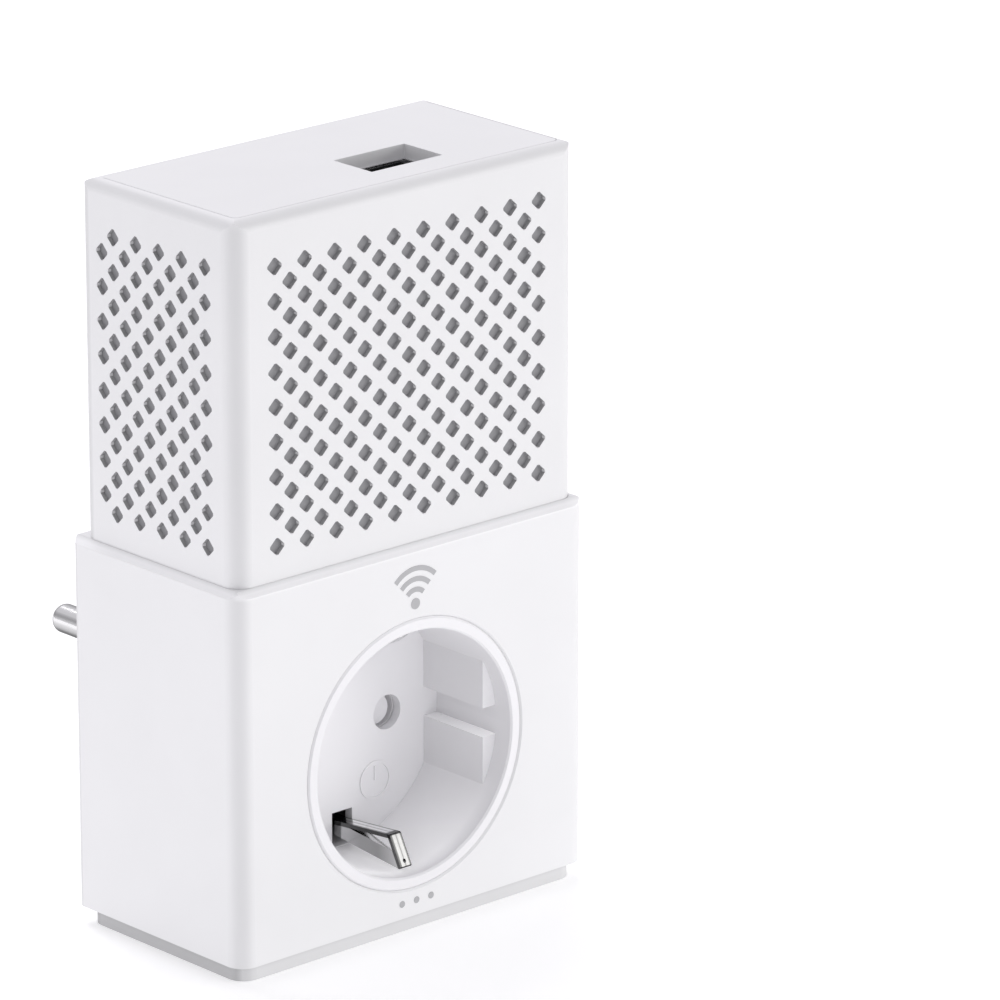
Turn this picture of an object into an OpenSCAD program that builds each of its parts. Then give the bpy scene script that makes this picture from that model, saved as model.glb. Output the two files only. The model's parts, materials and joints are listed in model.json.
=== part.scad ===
// Powerline network adapter with an earthed pass-through socket.
// Origin: centre of the flat underside. +Z up, the socket faces -Y, the plug points along +Y.

/* [Casing] */
// Width over the lower sleeve
body_w = 72; // [70:0.5:76]
// Depth over the lower sleeve, without the plug
body_d = 39; // [38:0.5:44]
// Overall height
body_h = 121; // [118:0.5:130]
// How far the inner column stands in from the sleeve on every side
inset = 1.25; // [1:0.05:1.5]
// Casing wall thickness
wall = 1.6; // [1.4:0.1:1.8]
// Radius of the upright edges
edge_r = 3; // [2:0.1:4]
// Radius of the top edges
top_r = 2; // [1:0.1:3]
// Radius of the upright edges at the back
back_r = 2.8; // [2:0.1:3.4]
// Radius of the top edge at the back
top_back_r = 3.6; // [2:0.1:3.8]
// Thickness of the plate let into the top
plate_t = 1.2; // [1:0.1:1.4]
// Height of the base step under the sleeve
base_step = 2.7; // [2:0.1:4]
// Height of the sleeve's top ledge above the underside
sleeve_top = 63.4; // [60:0.1:66]
// Height of the slope that finishes the ledge
ledge_h = 1.1; // [0.8:0.1:1.2]

/* [Vents] */
// Long rows of diamonds, one above the other
vent_rows = 9; // [5:1:9]
// Distance between the columns of one row on the front
vent_pitch_x = 5.95; // [5.6:0.05:6.2]
// Distance between the columns of one row on the sides
vent_pitch_y = 5.35; // [5:0.05:5.6]
// Distance between rows
vent_pitch_z = 5.5; // [5:0.05:5.6]
// Height of one diamond
diamond_h = 3.1; // [2.5:0.05:3.2]

/* [Socket] */
// Radius of the recess
socket_r = 20; // [19.5:0.1:20.5]
// Depth of the recess
socket_depth = 17.5; // [17:0.1:18]
// Height of the socket's axis above the underside
socket_z = 29.3; // [28:0.1:32]
// Distance between the pin centres, for the socket and the plug
pin_pitch = 19; // [18.5:0.1:19.5]
// Radius of the pin holes in the socket floor
pin_hole_r = 2.85; // [2.6:0.05:2.9]
// Travel of the shutter that closes the pin holes, in degrees
shutter_angle = 40; // [39:1:42]

/* [Plug] */
// Radius of the round plug boss
boss_r = 18.3; // [18:0.1:18.5]
// How far the boss stands out from the back
boss_len = 17.1; // [14:0.1:17.4]
// Height of the plug's axis above the underside
plug_z = 35; // [33:0.1:36]
// Radius of a plug pin
pin_r = 2.4; // [2.35:0.01:2.45]
// Free length of a plug pin
pin_len = 19; // [18.5:0.1:19.5]

/* [Port and button] */
// Centre of the network port, from the middle of the casing
port_x = 6.5; // [4:0.1:8]
// Centre of the network port, in front of (-) or behind the middle
port_y = -6.3; // [-6.5:0.1:-6]
// Height of the pair button
button_z = 18; // [16:0.5:20]
// Radius of the pair button
button_r = 3.2; // [2.5:0.1:3.4]
// Travel of the pair button
button_travel = 0.4; // [0.2:0.05:0.45]

/* [Hidden] */
$fn = 48;

// Smallest overlap that makes a cut clean
eps = 0.01;
// Gap between the sleeve and the column, and round other fitted pieces
fit_gap = 0.05;

// Casing
front_y = -body_d / 2;
back_y = body_d / 2;
column_w = body_w - 2 * inset;
column_d = body_d - 2 * inset;
column_front = -column_d / 2;
column_back = column_d / 2;
inner_front = column_front + wall;
inner_back = column_back - wall;
inner_x = column_w / 2 - wall;
inner_top = body_h - plate_t - 1.1;
split_y = column_back - 4;
lower_back_in = back_y - wall;
sleeve_back_r = inset;
liner_t = 0.5;
lip = 0.3;

// Vents
vent_top = body_h - 8.15;
vent_skin = 0.7;
vent_low = sleeve_top + 2;
vent_high = inner_top - 0.5;
diamond_w_front = 3.25;
diamond_w_side = 3;
diamond_cut = 0.2;
side_vent_front = column_front + 6.75;
front_columns = 19;
side_columns = 10;

// Screw posts in the four corners of the casing
post_x = 29.6;
post_z = [7, 115.9];
post_r = 2.6;
screw_r = 1.1;
screw_head_r = 2.2;
screw_head_h = 1.5;
screw_len = 12;
board_screw_len = 4;

// Socket
ring_r = 22;
cup_wall = ring_r - socket_r;
floor_front = front_y + socket_depth;
floor_t = 1.6;
floor_back = floor_front + floor_t;
skirt_back = floor_back + 6.4;
carrier_front = skirt_back - 1.5;
key_x = 17.2;
key_front = front_y + 3.6;
key_groove = 4.8;
clip_w = 2.3;
clip_t = 0.65;
clip_slot_w = 4.2;
clip_slot_z = 14.1;
clip_z = 15.9;
clip_ridge_y = floor_front - 12.35;
clip_nose_y = clip_ridge_y - 2.4;
clip_nose_z = 19.2;
clip_gap_share = 0.9;
clip_ridge_low = 14.75;
clip_ridge_high = 17.3;
strip_w = 5;

// Shutter
pivot_r = 2;
hub_r = 4.2;
pad_r = 3.4;
arm_w = 4;
stop_r = 0.9;
stop_radius = 6;
stop_gap = 0.15;
stop_angle = asin((arm_w / 2 + stop_r + stop_gap) / stop_radius);
shutter_front = floor_back + 0.3;
shutter_t = 2;

// Earth strap and plug
strap_front = 15.2;
strap_t = 0.8;
boss_back = back_y + boss_len;
boss_wall = 1.8;
boss_inner_r = 14.3;
boss_flat_x = 17.3;
pin_seat_r = pin_r + 0.25;
earth_r = boss_r - 1.2;
contact_back = 14;

// Live contacts and link bars
contact_x = 10;
contact_w = 7;
leaf_spread = 2.8;

// Side board, button and lights
side_board_x = 24.6;
side_board_low = [-10, 12];
side_board_high = [12, 54];
board_t = 1.2;
button_y = 2;
button_out = body_w / 2 + 0.4;
switch_face = 29.3;
led_z = [34, 40, 46];
led_r = 0.9;

// Boards in the upper half
main_back = -12;
main_t = 1.6;
power_front = 11;
board_x = 27;
board_low = 57.5;
board_high = 118.5;
board_post_x = 24;
board_post_z = [61, 115.4];
link_z = 64.5;
board_post_r = 2.2;

// Parts on the main board: lower left corner and size in X and Z, then thickness
plc_low = [-21, 69];
plc_size = [13, 13];
plc_t = 1.2;
memory_low = [-2, 72];
memory_size = [8, 8];
magnetics_low = [-0.5, 86];
magnetics_size = [14, 7];
crystal_low = [9, 76];
crystal_size = [8, 3.4];
coupling_low = [11, 61];
coupling_size = [8, 8];

// Parts on the power board
core_low = [-22, 92];
core_size = [18, 18];
core_d = 15;
core_window = 4;
core_leg = 3;
choke_at = [2, 6.5, 81];
choke_r = 6.6;
choke_wire_r = 2.6;
varistor_at = [21, 5.5, 84];

// Network jack
jack_w = 16;
jack_top = inner_top;
jack_h = 21.3;
jack_front = main_back;
jack_back = 1.5;
jack_wall = 0.3;
port_w = 14.4;
port_d = 8.8;
plug_w = 12;
plug_d = 7;
plug_shift = 0.4;
cavity_depth = 14;

// ---- Shared shapes ----

// Rectangle with one corner at low and the opposite one at high; its two lower corners take
// the radius r_low and its two upper corners r_high
module rounded_outline(low, high, r_low, r_high) {
    translate([low[0], low[1] + r_low])
        square([high[0] - low[0], high[1] - low[1] - r_low - r_high]);
    translate([low[0] + r_low, low[1]])
        square([high[0] - low[0] - 2 * r_low, r_low]);
    translate([low[0] + r_high, high[1] - r_high])
        square([high[0] - low[0] - 2 * r_high, r_high]);
    for (x = [low[0] + r_low, high[0] - r_low])
        translate([x, low[1] + r_low])
            circle(r_low);
    for (x = [low[0] + r_high, high[0] - r_high])
        translate([x, high[1] - r_high])
            circle(r_high);
}

// Upright section from 0 to h whose two top corners have their own radii
module arched_outline(x0, x1, h, r0, r1) {
    translate([x0, 0])
        square([x1 - x0, h - max(r0, r1)]);
    translate([x0 + r0, 0])
        square([x1 - x0 - r0 - r1, h]);
    translate([x0, 0])
        square([r0, h - r0]);
    translate([x1 - r1, 0])
        square([r1, h - r1]);
    translate([x0 + r0, h - r0])
        circle(r0);
    translate([x1 - r1, h - r1])
        circle(r1);
}

// Box from one corner to the opposite one
module block(low, high) {
    translate(low)
        cube(high - low);
}

// Cylinder along +Y from y0 to y1 at (x, z)
module rod_y(x, z, y0, y1, r) {
    translate([x, y0, z])
        rotate([-90, 0, 0])
            cylinder(h = y1 - y0, r = r);
}

// Cone along +Y from radius r0 at y0 to radius r1 at y1
module cone_y(x, z, y0, y1, r0, r1) {
    translate([x, y0, z])
        rotate([-90, 0, 0])
            cylinder(h = y1 - y0, r1 = r0, r2 = r1);
}

// Cylinder along +X from x0 to x1 at (y, z)
module rod_x(y, z, x0, x1, r) {
    translate([x0, y, z])
        rotate([0, 90, 0])
            cylinder(h = x1 - x0, r = r);
}

// Extrudes a drawing made in X and Z from y0 to y1
module slab_y(y0, y1) {
    translate([0, y1, 0])
        rotate([90, 0, 0])
            linear_extrude(y1 - y0)
                children();
}

// Extrudes a drawing made in Y and Z from x0 to x1
module slab_x(x0, x1) {
    translate([x0, 0, 0])
        rotate([90, 0, 90])
            linear_extrude(x1 - x0)
                children();
}

// Square on its corner, with its four corners cut off at cut from each tip
module diamond(w, h, cut) {
    rise = cut * h / w;
    run = cut * w / h;
    polygon([[cut - w / 2, rise], [cut - w / 2, -rise], [-run, cut - h / 2], [run, cut - h / 2],
        [w / 2 - cut, -rise], [w / 2 - cut, rise], [run, h / 2 - cut], [-run, h / 2 - cut]]);
}

// Straight bar of thickness t between two points of a drawing, with round ends
module bar(a, b, t) {
    along = b - a;
    translate(a)
        rotate(atan2(along[1], along[0]))
            translate([0, -t / 2])
                square([norm(along), t]);
    for (end = [a, b])
        translate(end)
            circle(t / 2);
}

// Long and short columns of diamonds in turn, starting with a long one at x = first
module vent_field(first, step, columns, w) {
    for (column = [0 : columns - 1], row = [0 : vent_rows - 1 - column % 2])
        translate([first + column * step, vent_top - (row + (column % 2) / 2) * vent_pitch_z])
            diamond(w, diamond_h, diamond_cut);
}

// Round wire along a list of points; side is any direction the wire never runs along
module swept_wire(path, r, side) {
    sides = 8;
    last = len(path) - 1;
    rings = [for (i = [0 : last])
        let (along = path[min(i + 1, last)] - path[max(i - 1, 0)],
            t = along / norm(along),
            across = cross(side, t),
            u = across / norm(across),
            v = cross(t, u))
            for (k = [0 : sides - 1])
                path[i] + r * (cos(k * 360 / sides) * u + sin(k * 360 / sides) * v)];
    walls = [for (i = [0 : last - 1], k = [0 : sides - 1])
        let (next = (k + 1) % sides)
            [i * sides + k, (i + 1) * sides + k, (i + 1) * sides + next, i * sides + next]];
    caps = [[for (k = [0 : sides - 1]) k], [for (k = [sides - 1 : -1 : 0]) last * sides + k]];
    polyhedron(rings, concat(walls, caps));
}

// ---- Casing ----

// Outside of the inner column between two depths, with all its upright and top edges rounded
module column_outside(y0, y1) {
    intersection() {
        linear_extrude(body_h)
            rounded_outline([-column_w / 2, column_front], [column_w / 2, column_back], edge_r, back_r);
        slab_y(column_front, column_back)
            arched_outline(-column_w / 2, column_w / 2, body_h, top_r, top_r);
        slab_x(-column_w / 2, column_w / 2)
            arched_outline(column_front, column_back, body_h, top_r, top_back_r);
        block([-body_w, y0, -1], [body_w, y1, body_h + 1]);
    }
}

// Outline of the plate let into the top; margin is the seam round it
module plate_outline(margin) {
    rounded_outline([top_r - column_w / 2 - margin, column_front + top_r - margin],
        [column_w / 2 - top_r + margin, split_y], 1 + margin, eps);
}

// Room behind the vents: the front and side walls are thinned there, but not the corners
module vent_pockets() {
    corner = 0.5;
    block([corner - inner_x, column_front + vent_skin, vent_low],
        [inner_x - corner, inner_front + eps, vent_high]);
    for (side = [-1, 1])
        block([side * (column_w / 2 - vent_skin - wall / 2) - wall / 2, inner_front + corner, vent_low],
            [side * (column_w / 2 - vent_skin - wall / 2) + wall / 2, split_y - corner, vent_high]);
}

module front_vents() {
    slab_y(column_front - 1, inner_front + eps)
        vent_field(-(front_columns - 1) / 4 * vent_pitch_x, vent_pitch_x / 2, front_columns,
            diamond_w_front);
}

module side_vents() {
    for (side = [-1, 1])
        slab_x(side * (inner_x + wall / 2) - wall, side * (inner_x + wall / 2) + wall)
            vent_field(side_vent_front, vent_pitch_y / 2, side_columns, diamond_w_side);
}

// Holes through the right wall for the button and the three lights
module side_openings(x0, x1, gap) {
    rod_x(button_y, button_z, x0, x1, button_r + gap);
    for (z = led_z)
        rod_x(button_y, z, x0, x1, led_r + gap);
}

module port_opening() {
    block([port_x - port_w / 2, port_y - port_d / 2, jack_top - eps],
        [port_x + port_w / 2, port_y + port_d / 2, body_h + 1]);
}

module front_shell() {
    color("white")
        difference() {
            union() {
                difference() {
                    column_outside(column_front - 1, split_y);
                    block([-inner_x, inner_front, wall], [inner_x, split_y + 1, inner_top]);
                    vent_pockets();
                    translate([0, 0, body_h - plate_t])
                        linear_extrude(2)
                            plate_outline(0.12);
                    front_vents();
                    side_vents();
                    port_opening();
                    side_openings(inner_x - 1, body_w, 0.1);
                    rod_y(0, socket_z, column_front - 1, inner_front + 1, ring_r + fit_gap);
                }
                for (x = [-post_x, post_x], z = post_z)
                    rod_y(x, z, column_front + vent_skin - eps, split_y, post_r);
                for (x = [-board_post_x, board_post_x], z = board_post_z)
                    rod_y(x, z, column_front + vent_skin - eps, main_back - main_t, board_post_r);
            }
            for (x = [-post_x, post_x], z = post_z)
                rod_y(x, z, split_y - screw_len, split_y + 1, screw_r);
            for (x = [-board_post_x, board_post_x], z = board_post_z)
                rod_y(x, z, main_back - 4.2, main_back, screw_r);
        }
}

module top_plate() {
    color("white")
        difference() {
            translate([0, 0, body_h - plate_t])
                linear_extrude(plate_t)
                    plate_outline(0);
            port_opening();
        }
}

// Grey dust sheet behind the vents on the front and both sides, with pads let into the walls
module vent_liner() {
    color("gray")
        difference() {
            union() {
                block([-inner_x, inner_front, vent_low], [inner_x, split_y - 0.5, vent_high]);
                vent_pockets();
            }
            block([liner_t - inner_x, inner_front + liner_t, vent_low - 1],
                [inner_x - liner_t, split_y, vent_high + 1]);
            for (x = [-post_x, post_x])
                rod_y(x, post_z[1], inner_front - 1, split_y, post_r + 0.1);
            for (x = [-board_post_x, board_post_x])
                rod_y(x, board_post_z[1], inner_front - 1, split_y, board_post_r + 0.1);
        }
}

// The band round the lower half, with a sloped ledge at its top
module sleeve_outside() {
    h = sleeve_top - base_step;
    translate([0, 0, base_step])
        intersection() {
            linear_extrude(h)
                rounded_outline([-body_w / 2, front_y], [body_w / 2, back_y], edge_r, sleeve_back_r);
            slab_y(front_y, back_y)
                polygon([[-body_w / 2, 0], [body_w / 2, 0], [body_w / 2, h - ledge_h],
                    [body_w / 2 - ledge_h, h], [ledge_h - body_w / 2, h],
                    [-body_w / 2, h - ledge_h]]);
            slab_x(-body_w / 2, body_w / 2)
                polygon([[front_y, 0], [back_y, 0], [back_y, h], [front_y + ledge_h, h],
                    [front_y, h - ledge_h]]);
        }
}

module lower_sleeve() {
    side_in = column_w / 2 + fit_gap;
    front_in = column_front - fit_gap;
    color("white")
        difference() {
            sleeve_outside();
            linear_extrude(body_h)
                rounded_outline([-side_in, front_in], [side_in, back_y + 1], edge_r, eps);
            rod_y(0, socket_z, front_y - 1, front_in + 1, ring_r + fit_gap);
            cone_y(0, socket_z, front_y - eps, front_y + lip, ring_r + fit_gap + lip, ring_r + fit_gap);
            side_openings(column_w / 2, body_w, 0.1);
        }
}

// Round boss that goes into the wall socket, with flats, key grooves and earth channels
module plug_boss() {
    difference() {
        rod_y(0, plug_z, lower_back_in, boss_back, boss_r);
        rod_y(0, plug_z, lower_back_in - 1, boss_back - boss_wall, boss_inner_r);
        for (side = [-1, 1]) {
            block([side * (boss_flat_x + 2) - 2, back_y, plug_z - boss_r],
                [side * (boss_flat_x + 2) + 2, boss_back + 1, plug_z + boss_r]);
            block([side * boss_flat_x - 1.8, back_y, plug_z - key_groove / 2],
                [side * boss_flat_x + 1.8, boss_back + 1, plug_z + key_groove / 2]);
            block([-strip_w / 2 - 0.2, back_y, plug_z + side * (earth_r + 1) - 1],
                [strip_w / 2 + 0.2, boss_back - 1.6, plug_z + side * (earth_r + 1) + 1]);
            rod_y(side * pin_pitch / 2, plug_z, lower_back_in, boss_back + 1, pin_seat_r + fit_gap);
        }
    }
}

module rear_cover() {
    color("white")
        difference() {
            union() {
                difference() {
                    column_outside(split_y, column_back + 1);
                    block([-inner_x, split_y - 1, wall], [inner_x, inner_back, inner_top]);
                }
                difference() {
                    block([-column_w / 2, split_y, base_step],
                        [column_w / 2, back_y, sleeve_top]);
                    block([-inner_x, split_y - 1, wall], [inner_x, lower_back_in, sleeve_top - wall]);
                }
                plug_boss();
                for (x = [-post_x, post_x], z = post_z)
                    rod_y(x, z, split_y, inner_back + eps, post_r + 0.6);
                for (x = [-post_x, post_x])
                    rod_y(x, post_z[0], split_y, lower_back_in + eps, post_r + 0.6);
                for (x = [-board_post_x, board_post_x], z = board_post_z)
                    rod_y(x, z, power_front + main_t, inner_back + wall / 2, board_post_r);
            }
            rod_y(0, plug_z, inner_back - 1, back_y + 1, boss_inner_r);
            for (x = [-post_x, post_x]) {
                rod_y(x, post_z[0], split_y - 1, back_y + 1, screw_r + 0.15);
                rod_y(x, post_z[0], back_y - screw_head_h - 0.3, back_y + 1, screw_head_r + 0.2);
                rod_y(x, post_z[1], split_y - 1, back_y + 1, screw_r + 0.15);
                rod_y(x, post_z[1], column_back - screw_head_h - 0.3, back_y + 1, screw_head_r + 0.2);
            }
            for (x = [-board_post_x, board_post_x], z = board_post_z)
                rod_y(x, z, power_front, inner_back, screw_r);
            for (side = [-1, 1])
                block([-strip_w / 2 - 0.2, split_y, plug_z + side * (earth_r + 0.4) - 0.6],
                    [strip_w / 2 + 0.2, back_y + 1, plug_z + side * (earth_r + 0.4) + 0.6]);
        }
}

// Generic printed mark: a dot under three widening arcs above the ring, and three dots below it
module fascia_mark() {
    print_t = 0.06;
    dot_z = socket_z + ring_r + 2.6;
    low_dots_z = socket_z - ring_r - 2.1;
    color("silver")
        slab_y(front_y - print_t, front_y) {
            translate([0, dot_z])
                circle(0.9);
            for (r = [2.3, 4, 5.7])
                translate([0, dot_z])
                    intersection() {
                        difference() {
                            circle(r + 0.4);
                            circle(r - 0.4);
                        }
                        polygon([[0, 0], [-8, 8], [8, 8]]);
                    }
            for (x = [-3, 0, 3])
                translate([x, low_dots_z])
                    circle(0.55);
        }
}

// ---- Socket ----

// Segment blocks on both side walls, each parted by the key groove
module side_keys() {
    key_t = 4;
    key_h = 10;
    intersection() {
        rod_y(0, socket_z, key_front, floor_front + eps, socket_r + 0.5);
        for (side = [-1, 1], half = [-1, 1])
            translate([side * (key_x + key_t / 2), 0, socket_z + half * (key_groove + key_h) / 2])
                block([-key_t / 2, key_front, -key_h / 2], [key_t / 2, floor_front + eps, key_h / 2]);
    }
}

// Way for an earth clip through the floor, next to the wall
module clip_slot(side) {
    depth = socket_r - 0.1 - clip_slot_z;
    z_mid = socket_z + side * (clip_slot_z + depth / 2);
    block([-clip_slot_w / 2, floor_front - 1, z_mid - depth / 2],
        [clip_slot_w / 2, floor_back + 1, z_mid + depth / 2]);
}

// Small raised ring round a short upright bar on the socket floor
module floor_emblem() {
    emblem_r = 3.2;
    line_w = 0.4;
    slab_y(floor_front - 0.2, floor_front + eps)
        translate([6.9, socket_z - 10.7]) {
            difference() {
                circle(emblem_r);
                circle(emblem_r - line_w);
            }
            translate([-line_w / 2, 0])
                square([line_w, emblem_r - 2 * line_w]);
        }
}

module socket_insert() {
    flange = 2;
    color("gainsboro")
        difference() {
            union() {
                difference() {
                    union() {
                        cone_y(0, socket_z, front_y, front_y + lip, ring_r - lip, ring_r);
                        rod_y(0, socket_z, front_y + lip, skirt_back, ring_r);
                        rod_y(0, socket_z, inner_front, inner_front + flange, ring_r + flange);
                    }
                    rod_y(0, socket_z, front_y - 1, floor_front, socket_r);
                    cone_y(0, socket_z, front_y - eps, front_y + lip, socket_r + lip, socket_r);
                    rod_y(0, socket_z, floor_back, skirt_back + 1, socket_r);
                }
                side_keys();
                floor_emblem();
                rod_y(0, socket_z, floor_back - eps, carrier_front - 0.3, pivot_r);
            }
            for (side = [-1, 1]) {
                rod_y(side * pin_pitch / 2, socket_z, floor_front - 1, floor_back + 1, pin_hole_r);
                clip_slot(side);
            }
        }
}

// Crescent-shaped pocket in the face of a shutter pad, where a plug pin starts to push it aside
module pad_pocket(side) {
    slab_y(shutter_front - 1, shutter_front + 1.5)
        translate([side * pin_pitch / 2, socket_z])
            difference() {
                circle(pad_r - 0.6);
                translate([-0.6, 0.1])
                    circle(pad_r - 1);
            }
}

// Arms and pads that cover both pin holes, turning on the pivot post behind the floor
module shutter() {
    color("white")
        difference() {
            union() {
                rod_y(0, socket_z, shutter_front, shutter_front + shutter_t, hub_r);
                rod_y(0, socket_z, shutter_front, carrier_front - 0.2, pivot_r + 0.9);
                block([-pin_pitch / 2, shutter_front, socket_z - arm_w / 2],
                    [pin_pitch / 2, shutter_front + shutter_t, socket_z + arm_w / 2]);
                for (side = [-1, 1])
                    rod_y(side * pin_pitch / 2, socket_z, shutter_front, shutter_front + shutter_t, pad_r);
            }
            rod_y(0, socket_z, shutter_front - 1, carrier_front + 1, pivot_r + fit_gap);
            for (side = [-1, 1])
                pad_pocket(side);
        }
}

// Torsion spring: a close coil round the hub whose two ends run off as straight legs
module shutter_spring() {
    wire_r = 0.2;
    coil_r = pivot_r + 1.3;
    coil_y = shutter_front + shutter_t + wire_r + 0.05;
    turns = 3.5;
    steps = 20;
    rise = 0.44;
    leg = 4;
    start = coil_r * [cos(110), 0, sin(110)];
    end = coil_r * [cos(110 + turns * 360), 0, sin(110 + turns * 360)];
    coil = [for (step = [0 : turns * steps])
        let (angle = 110 + step * 360 / steps)
            [coil_r * cos(angle), step * rise / steps, coil_r * sin(angle)]];
    path = concat([start + leg * [sin(110), 0, -cos(110)]], coil,
        [end + [0, turns * rise, 0] + leg * [-sin(110 + turns * 360), 0, cos(110 + turns * 360)]]);
    color("silver")
        translate([0, coil_y, socket_z])
            swept_wire(path, wire_r, [0, 1, 0]);
}

// Plate that closes the shutter chamber, with walls round both live contacts and two stops
module contact_carrier() {
    room_w = 6.8;
    room_h = 7.6;
    room_wall = 1;
    color("dimgray")
        difference() {
            union() {
                rod_y(0, socket_z, carrier_front, skirt_back, socket_r - fit_gap);
                for (side = [-1, 1])
                    block([side * contact_x - room_w / 2 - room_wall, carrier_front,
                            socket_z - room_h / 2 - room_wall],
                        [side * contact_x + room_w / 2 + room_wall, contact_back - 0.6,
                            socket_z + room_h / 2 + room_wall]);
                for (angle = [-stop_angle, shutter_angle + stop_angle])
                    rod_y(stop_radius * cos(angle), socket_z + stop_radius * sin(angle),
                        shutter_front, carrier_front + eps, stop_r);
            }
            for (side = [-1, 1]) {
                rod_y(side * pin_pitch / 2, socket_z, carrier_front - 1, skirt_back + 1, pin_hole_r);
                block([side * contact_x - room_w / 2, skirt_back, socket_z - room_h / 2],
                    [side * contact_x + room_w / 2, contact_back, socket_z + room_h / 2]);
                block([-clip_slot_w / 2, carrier_front - 1, socket_z + side * clip_z - 1.2],
                    [clip_slot_w / 2, skirt_back + 1, socket_z + side * clip_z + 1.2]);
            }
        }
}

// Two leaves that grip a pin, on a back plate with a tail up to the link bar
module line_contact(side) {
    leaf_t = 0.6;
    leaf_w = 4.4;
    plate_x = contact_x - 0.1;
    color("goldenrod")
        difference() {
            union() {
                for (half = [-1, 1])
                    block([side * pin_pitch / 2 - leaf_w / 2, skirt_back + 0.2,
                            socket_z + half * leaf_spread - leaf_t / 2],
                        [side * pin_pitch / 2 + leaf_w / 2, contact_back - leaf_t + eps,
                            socket_z + half * leaf_spread + leaf_t / 2]);
                block([side * plate_x - contact_w / 2 - 0.1, contact_back - leaf_t,
                        socket_z - leaf_spread - leaf_t / 2],
                    [side * plate_x + contact_w / 2 + 0.1, contact_back, plug_z + 1.5]);
            }
            rod_y(side * pin_pitch / 2, socket_z, contact_back - 1, contact_back + 1, pin_r + 0.1);
        }
}

// Link from a plug pin's tail forward to the live contact
module line_bar(side) {
    bar_t = 0.8;
    bar_z = plug_z - 3;
    tail_y = boss_back - boss_wall - 4.6;
    outer_x = contact_x + contact_w / 2 - bar_t / 2;
    color("goldenrod")
        difference() {
            union() {
                block([side * contact_x - contact_w / 2, tail_y, bar_z],
                    [side * contact_x + contact_w / 2, tail_y + bar_t, plug_z + 3]);
                block([side * outer_x - bar_t / 2, contact_back, bar_z],
                    [side * outer_x + bar_t / 2, tail_y + eps, plug_z + 1.5]);
            }
            rod_y(side * pin_pitch / 2, plug_z, tail_y - 1, tail_y + 2, pin_r - 1);
        }
}

// Folded spring strip: shank, leaf up to the ridge that presses on a plug, nose, and folded return
// along the wall. Drawn in Y and in the distance from the socket's axis.
module clip_outline(ridge_z) {
    ridge = [clip_ridge_y, ridge_z];
    bend = [floor_front, clip_z];
    nose = [clip_nose_y, clip_nose_z];
    return_end = floor_front + 0.8;
    inner = ridge + clip_gap_share * (bend - ridge);
    fold = (ridge + nose) / 2;
    translate([floor_front, clip_z - clip_t / 2])
        square([strap_front - floor_front, clip_t]);
    bar(bend, ridge, clip_t);
    bar(ridge, nose, clip_t);
    polygon([fold, inner, [return_end, clip_z], [return_end, clip_nose_z - 1.2],
        [clip_nose_y + 0.1, clip_nose_z + clip_t / 2], nose]);
}

module earth_clip(side) {
    ridge_z = side < 0 ? clip_ridge_low : clip_ridge_high;
    color("lightgray")
        difference() {
            translate([0, 0, socket_z])
                mirror([0, 0, side < 0 ? 1 : 0])
                    slab_x(-clip_w / 2, clip_w / 2)
                        clip_outline(ridge_z);
            rod_y(0, socket_z + side * (clip_nose_z - 0.8), front_y, clip_nose_y + 0.6, 0.3);
        }
}

// Strip behind the contacts that joins the earth clips to the plug's earth contacts
module earth_strap() {
    low = min(socket_z - clip_z, plug_z - earth_r) - 1;
    high = max(socket_z + clip_z, plug_z + earth_r) + 1;
    color("goldenrod")
        block([-strip_w / 2, strap_front, low], [strip_w / 2, strap_front + strap_t, high]);
}

// ---- Plug ----

// Round pin with a soft tip, a thicker seat in the boss wall, a collar behind it and a thin tail
module plug_pin(side) {
    tip_r = 1.5;
    seat_out = 0.2;
    collar_t = 1.5;
    tail_len = 4;
    shank_end = boss_back + pin_len - tip_r;
    collar_front = boss_back - boss_wall - collar_t;
    color("silver")
        translate([side * pin_pitch / 2, 0, plug_z])
            rotate([-90, 0, 0])
                rotate_extrude()
                    union() {
                        translate([0, collar_front])
                            square([pin_r, shank_end - collar_front]);
                        translate([0, shank_end - eps])
                            square([pin_r - tip_r, tip_r + eps]);
                        intersection() {
                            translate([pin_r - tip_r, shank_end])
                                circle(tip_r);
                            translate([0, boss_back])
                                square([pin_r, pin_len]);
                        }
                        translate([0, collar_front])
                            square([pin_seat_r, boss_back + seat_out - collar_front]);
                        translate([0, collar_front])
                            square([pin_r + 1, collar_t]);
                        translate([0, collar_front - tail_len])
                            square([pin_r - 1, tail_len + eps]);
                    }
}

// Earth contact that lies in the boss's channel and reaches in to the strap
module plug_earth(side) {
    color("silver")
        block([-strip_w / 2, strap_front + strap_t, plug_z + side * (earth_r + 0.4) - 0.4],
            [strip_w / 2, boss_back - 2, plug_z + side * (earth_r + 0.4) + 0.4]);
}

// ---- Button and lights ----

module pair_button() {
    color("whitesmoke")
        union() {
            rod_x(button_y, button_z, inner_x - 0.6, button_out, button_r);
            rod_x(button_y, button_z, inner_x - 1.2, inner_x - 0.5, button_r + 1);
            rod_x(button_y, button_z, switch_face + 0.9, inner_x - 1, 1.5);
        }
}

module switch_plunger() {
    color("dimgray")
        rod_x(button_y, button_z, switch_face - 0.8, switch_face + 0.9, 1.6);
}

module pair_switch() {
    half_w = 3;
    color("dimgray")
        difference() {
            block([side_board_x + board_t, button_y - half_w, button_z - half_w],
                [switch_face, button_y + half_w, button_z + half_w]);
            rod_x(button_y, button_z, switch_face - 1.3, switch_face + 1, 1.7);
        }
}

module side_board() {
    color("seagreen")
        block([side_board_x, side_board_low[0], side_board_low[1]],
            [side_board_x + board_t, side_board_high[0], side_board_high[1]]);
}

module status_leds() {
    half_w = 0.8;
    chip_t = 1.1;
    color("palegreen")
        for (z = led_z)
            block([side_board_x + board_t, button_y - half_w, z - half_w],
                [side_board_x + board_t + chip_t, button_y + half_w, z + half_w]);
}

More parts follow.
